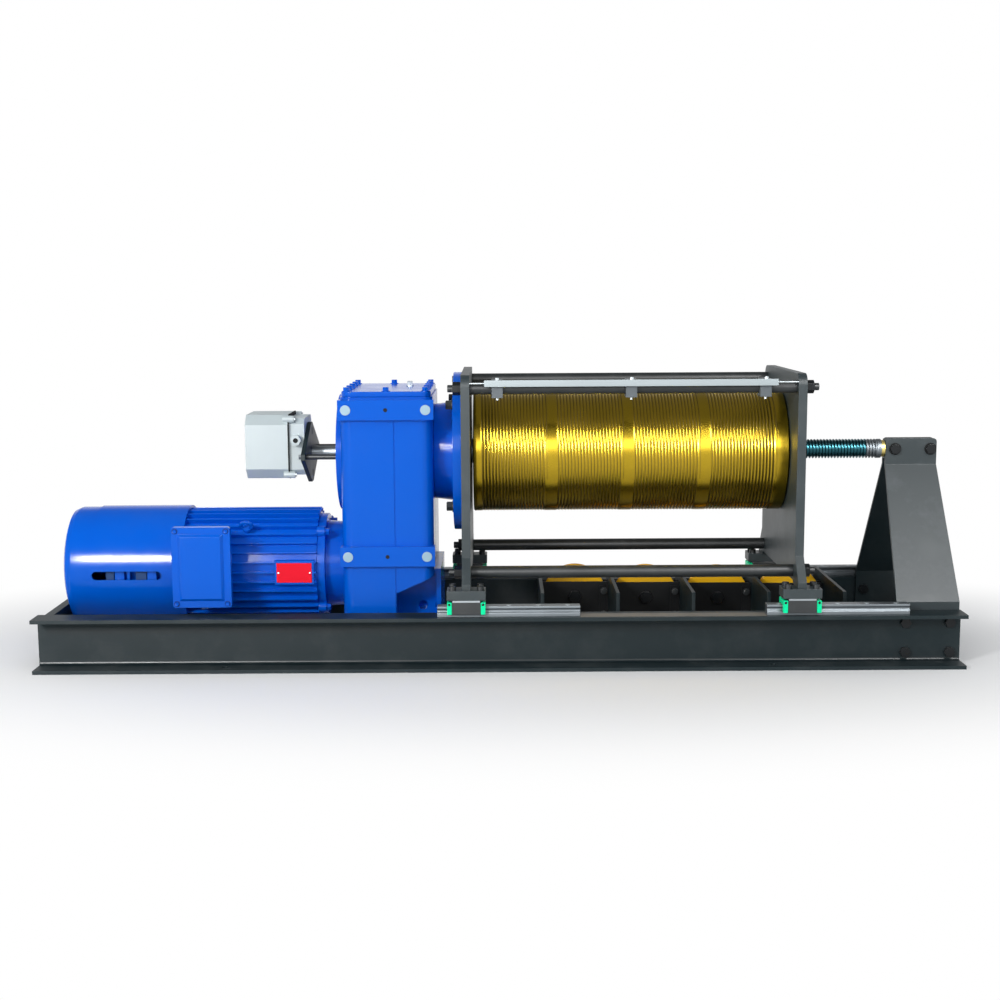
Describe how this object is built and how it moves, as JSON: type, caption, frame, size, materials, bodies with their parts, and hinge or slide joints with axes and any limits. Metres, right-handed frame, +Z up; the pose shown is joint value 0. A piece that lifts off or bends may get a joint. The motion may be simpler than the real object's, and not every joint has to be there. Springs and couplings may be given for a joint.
{
  "type": "stage winch",
  "caption": "Moving-drum stage winch: brake motor, gearbox and grooved drum slide as one carriage along a fixed lead screw over deflector sheaves in a channel base.",
  "frame": {"origin": "centre of the base's footprint, on the floor", "axes": "+X along the drum from motor to screw stand, +Y away from the rope-keeper side, +Z up"},
  "size_m": [2.54, 0.66, 0.801],
  "materials": {
    "frame_black": "satin charcoal paint",
    "winch_blue": "gloss blue paint",
    "bare_steel": "bright rolled or ground steel",
    "dark_steel": "black oxide",
    "drum_gold": "yellow passivated, oily",
    "sheave_yellow": "cast nylon",
    "seal_green": "moulded",
    "aluminium": "milled",
    "switch_grey": "moulded",
    "plug_grey": "moulded",
    "plate_red": "printed blank",
    "bronze": "cast bronze"
  },
  "bodies": {
    "base": {"channel_front": "frame_black", "channel_rear": "frame_black", "end_beam_left": "frame_black", "end_beam_right": "frame_black", "rail_front_left": "bare_steel", "rail_front_right": "bare_steel", "rail_rear_left": "bare_steel", "rail_rear_right": "bare_steel", "partition_plates": "frame_black", "sheave_cheeks_1": "frame_black", "sheave_cheeks_2": "frame_black", "sheave_cheeks_3": "frame_black", "sheave_cheeks_4": "frame_black", "sheave_axles": "dark_steel", "stand_front": "frame_black", "stand_rear": "frame_black", "clamp_block": "frame_black", "screw_bush": "bronze", "lead_screw": "bare_steel", "stand_bolts": "dark_steel"},
    "carriage": {"end_plate_left": "frame_black", "end_plate_right": "frame_black", "tie_rod_upper_front": "dark_steel", "tie_rod_upper_rear": "dark_steel", "tie_rod_lower_front": "dark_steel", "tie_rod_lower_rear": "dark_steel", "tie_rod_nuts": "dark_steel", "guide_blocks": "dark_steel", "block_seals": "seal_green", "block_feet": "frame_black", "gearbox_housing": "winch_blue", "gearbox_cover": "winch_blue", "gearbox_plugs": "plug_grey", "output_flange": "winch_blue", "motor_frame": "winch_blue", "motor_shield": "winch_blue", "brake_cowl": "winch_blue", "brake_body": "winch_blue", "terminal_box": "winch_blue", "terminal_lid": "winch_blue", "cable_gland": "winch_blue", "eye_bolt": "winch_blue", "blank_plate": "plate_red", "switch_cover": "switch_grey", "switch_base": "switch_grey", "switch_gland": "switch_grey", "switch_plate": "dark_steel", "switch_standoffs": "dark_steel", "keeper_bar": "aluminium", "keeper_brackets": "dark_steel"},
    "drum": {"drum_barrel": "drum_gold", "drum_hub_left": "drum_gold", "drum_hub_right": "drum_gold", "drum_shaft": "bare_steel", "lead_nut": "bronze"},
    "sheave_1": {"sheave_1": "sheave_yellow"},
    "sheave_2": {"sheave_2": "sheave_yellow"},
    "sheave_3": {"sheave_3": "sheave_yellow"},
    "sheave_4": {"sheave_4": "sheave_yellow"}
  },
  "joints": [
    {"name": "carriage_slide", "type": "slide", "parent": "base", "child": "carriage", "axis": [1, 0, 0], "range_m": [0, 0.171]},
    {"name": "drum_spin", "type": "hinge", "parent": "carriage", "child": "drum", "pos_m": [0.37, 0, 0.572], "axis": [1, 0, 0], "range_deg": [0, 6840]},
    {"name": "sheave_1_spin", "type": "hinge", "parent": "base", "child": "sheave_1", "pos_m": [0.228, 0.168, 0.116], "axis": [0, 1, 0], "continuous": true},
    {"name": "sheave_2_spin", "type": "hinge", "parent": "base", "child": "sheave_2", "pos_m": [0.44, 0.154, 0.116], "axis": [0, 1, 0], "continuous": true},
    {"name": "sheave_3_spin", "type": "hinge", "parent": "base", "child": "sheave_3", "pos_m": [0.652, 0.14, 0.116], "axis": [0, 1, 0], "continuous": true},
    {"name": "sheave_4_spin", "type": "hinge", "parent": "base", "child": "sheave_4", "pos_m": [0.864, 0.126, 0.116], "axis": [0, 1, 0], "continuous": true}
  ],
  "couplings": [
    {"joint": "carriage_slide", "follows": "drum_spin", "m_per_rad": 0.0014324}
  ]
}
